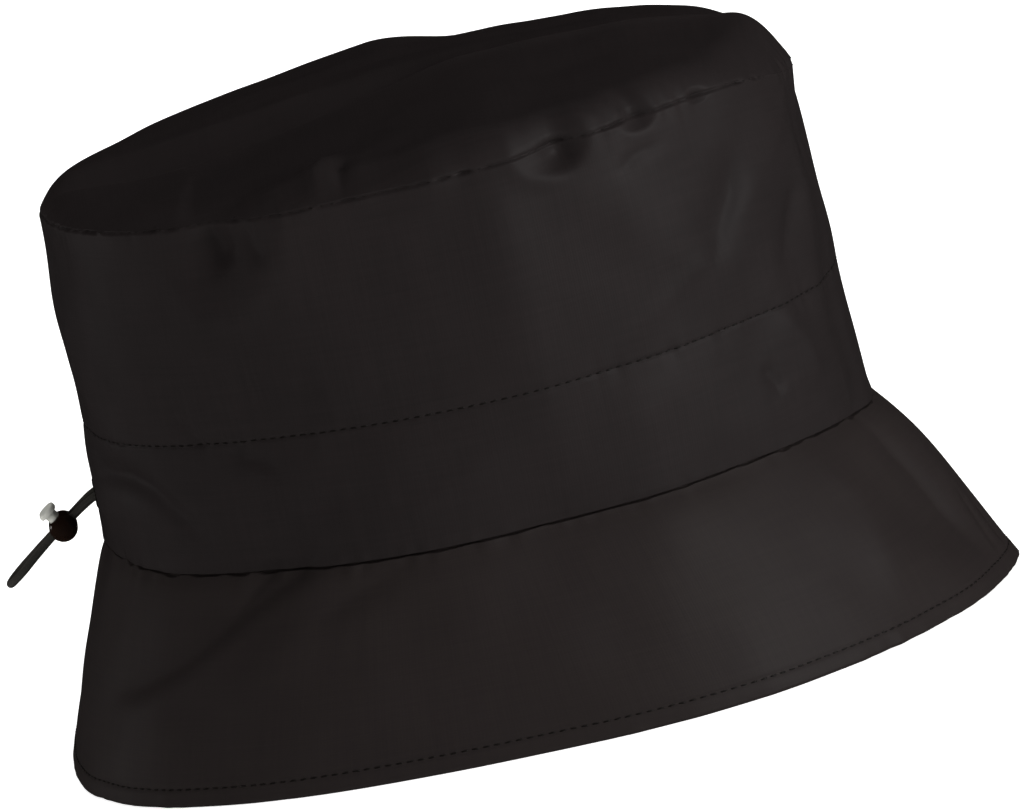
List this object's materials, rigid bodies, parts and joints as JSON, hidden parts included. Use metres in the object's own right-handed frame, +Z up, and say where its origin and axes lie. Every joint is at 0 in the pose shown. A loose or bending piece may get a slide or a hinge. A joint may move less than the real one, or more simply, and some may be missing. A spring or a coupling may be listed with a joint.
{
  "type": "rain hat",
  "caption": "Soft rain hat with an oval puffed top, upright crown, draw band with a locked cord loop at the back, and a down-sloping stitched brim.",
  "frame": {"origin": "centre of the brim edge's outline, on the surface that the hat rests on", "axes": "+X towards the hat's front, +Y towards the wearer's left, +Z up"},
  "size_m": [0.2536, 0.204, 0.1582],
  "materials": {
    "shell_fabric": "black tightly woven nylon with a soft sheen, stitched in black",
    "elastic_cord": "black braided elastic cord, matte",
    "lock_body": "glossy moulded black plastic",
    "lock_button": "satin moulded pale grey plastic"
  },
  "bodies": {
    "hat": {"brim": "shell_fabric", "draw_band": "shell_fabric", "crown_side": "shell_fabric", "crown_top": "shell_fabric", "draw_cord": "elastic_cord", "cord_lock": "lock_body"},
    "button": {"lock_button": "lock_button"}
  },
  "joints": [
    {"name": "button_press", "type": "slide", "parent": "hat", "child": "button", "axis": [0.5721, 0, -0.8202], "range_m": [0, 0.001], "stiffness_N_per_m": 200}
  ]
}
